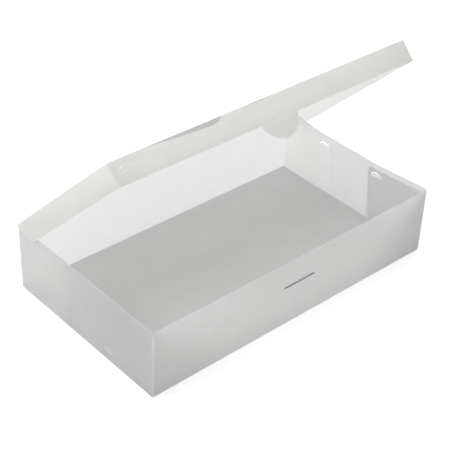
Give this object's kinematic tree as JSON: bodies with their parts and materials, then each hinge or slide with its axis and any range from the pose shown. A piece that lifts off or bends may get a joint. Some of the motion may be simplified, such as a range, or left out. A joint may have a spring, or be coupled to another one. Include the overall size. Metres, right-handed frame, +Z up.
{
  "type": "shoe box",
  "caption": "Folding frosted plastic box for boots: shallow tray with inward corner flaps, hinged lid with folded flanges, half-moon locks and a tongue that tucks into a slit.",
  "frame": {"origin": "middle of the underside of the floor panel", "axes": "+X along the long side, +Y from the front wall towards the lid hinge, +Z up"},
  "size_m": [0.5256, 0.3, 0.322],
  "materials": {
    "frosted_sheet": "frosted translucent, fine grain",
    "crease": "stress-whitened fold, slightly glossy"
  },
  "bodies": {
    "box": {"floor_panel": "frosted_sheet", "front_wall": "frosted_sheet", "back_wall": "frosted_sheet", "front_floor_crease": "crease", "back_floor_crease": "crease", "left_floor_crease": "crease", "right_floor_crease": "crease", "lid_hinge_crease": "crease", "front_left_flap_crease": "crease", "front_right_flap_crease": "crease", "back_left_flap_crease": "crease", "back_right_flap_crease": "crease"},
    "lid": {"lid_panel": "frosted_sheet", "lid_left_flange": "frosted_sheet", "lid_right_flange": "frosted_sheet", "lid_left_crease": "crease", "lid_right_crease": "crease", "lid_front_crease": "crease", "lid_left_corner_crease": "crease", "lid_right_corner_crease": "crease"},
    "lid_front_flange": {"lid_front_flange": "frosted_sheet", "lid_tongue_crease": "crease"},
    "lid_tongue": {"lid_tongue": "frosted_sheet"},
    "left_end_wall": {"left_end_wall": "frosted_sheet"},
    "lid_left_corner_tab": {"lid_left_corner_tab": "frosted_sheet"},
    "lid_left_lock_tab": {"lid_left_lock_tab": "frosted_sheet"},
    "front_left_flap": {"front_left_flap": "frosted_sheet"},
    "front_left_lock_tab": {"front_left_lock_tab": "frosted_sheet"},
    "back_left_flap": {"back_left_flap": "frosted_sheet"},
    "back_left_lock_tab": {"back_left_lock_tab": "frosted_sheet"},
    "right_end_wall": {"right_end_wall": "frosted_sheet"},
    "lid_right_corner_tab": {"lid_right_corner_tab": "frosted_sheet"},
    "lid_right_lock_tab": {"lid_right_lock_tab": "frosted_sheet"},
    "front_right_flap": {"front_right_flap": "frosted_sheet"},
    "front_right_lock_tab": {"front_right_lock_tab": "frosted_sheet"},
    "back_right_flap": {"back_right_flap": "frosted_sheet"},
    "back_right_lock_tab": {"back_right_lock_tab": "frosted_sheet"}
  },
  "joints": [
    {"name": "lid_hinge", "type": "hinge", "parent": "box", "child": "lid", "pos_m": [0, 0.1496, 0.1107], "axis": [-1, 0, 0], "range_deg": [-44.4, 150]},
    {"name": "front_flange_fold", "type": "hinge", "parent": "lid", "child": "lid_front_flange", "pos_m": [0, -0.06581, 0.32165], "axis": [-1, 0, 0], "range_deg": [0, 90]},
    {"name": "tongue_flex", "type": "hinge", "parent": "lid_front_flange", "child": "lid_tongue", "pos_m": [0, -0.0896, 0.29736], "axis": [1, 0, 0], "range_deg": [-20, 35]},
    {"name": "left_end_wall_fold", "type": "hinge", "parent": "box", "child": "left_end_wall", "pos_m": [-0.2596, 0, 0.0004], "axis": [0, -1, 0], "range_deg": [0, 90]},
    {"name": "left_corner_tab_fold", "type": "hinge", "parent": "lid", "child": "lid_left_corner_tab", "pos_m": [-0.262, -0.07692, 0.30845], "axis": [0, 0.6997, 0.7145], "range_deg": [0, 75]},
    {"name": "lid_left_lock_flex", "type": "hinge", "parent": "lid_left_corner_tab", "child": "lid_left_lock_tab", "pos_m": [-0.2425, -0.07776, 0.30816], "axis": [1, 0, 0], "range_deg": [-12, 0]},
    {"name": "front_left_flap_fold", "type": "hinge", "parent": "box", "child": "front_left_flap", "pos_m": [-0.2581, -0.1492, 0.0511], "axis": [0, 0, -1], "range_deg": [0, 80]},
    {"name": "front_left_lock_flex", "type": "hinge", "parent": "left_end_wall", "child": "front_left_lock_tab", "pos_m": [-0.2596, -0.056, 0.015], "axis": [0, 1, 0], "range_deg": [-12, 0]},
    {"name": "back_left_flap_fold", "type": "hinge", "parent": "box", "child": "back_left_flap", "pos_m": [-0.2581, 0.1492, 0.0511], "axis": [0, 0, 1], "range_deg": [0, 80]},
    {"name": "back_left_lock_flex", "type": "hinge", "parent": "left_end_wall", "child": "back_left_lock_tab", "pos_m": [-0.2596, 0.056, 0.015], "axis": [0, 1, 0], "range_deg": [-12, 0]},
    {"name": "right_end_wall_fold", "type": "hinge", "parent": "box", "child": "right_end_wall", "pos_m": [0.2596, 0, 0.0004], "axis": [0, 1, 0], "range_deg": [0, 90]},
    {"name": "right_corner_tab_fold", "type": "hinge", "parent": "lid", "child": "lid_right_corner_tab", "pos_m": [0.262, -0.07692, 0.30845], "axis": [0, -0.6997, -0.7145], "range_deg": [0, 75]},
    {"name": "lid_right_lock_flex", "type": "hinge", "parent": "lid_right_corner_tab", "child": "lid_right_lock_tab", "pos_m": [0.2425, -0.07776, 0.30816], "axis": [1, 0, 0], "range_deg": [-12, 0]},
    {"name": "front_right_flap_fold", "type": "hinge", "parent": "box", "child": "front_right_flap", "pos_m": [0.2581, -0.1492, 0.0511], "axis": [0, 0, 1], "range_deg": [0, 80]},
    {"name": "front_right_lock_flex", "type": "hinge", "parent": "right_end_wall", "child": "front_right_lock_tab", "pos_m": [0.2596, -0.056, 0.086], "axis": [0, -1, 0], "range_deg": [-12, 0]},
    {"name": "back_right_flap_fold", "type": "hinge", "parent": "box", "child": "back_right_flap", "pos_m": [0.2581, 0.1492, 0.0511], "axis": [0, 0, -1], "range_deg": [0, 80]},
    {"name": "back_right_lock_flex", "type": "hinge", "parent": "right_end_wall", "child": "back_right_lock_tab", "pos_m": [0.2596, 0.056, 0.086], "axis": [0, -1, 0], "range_deg": [-12, 0]}
  ]
}
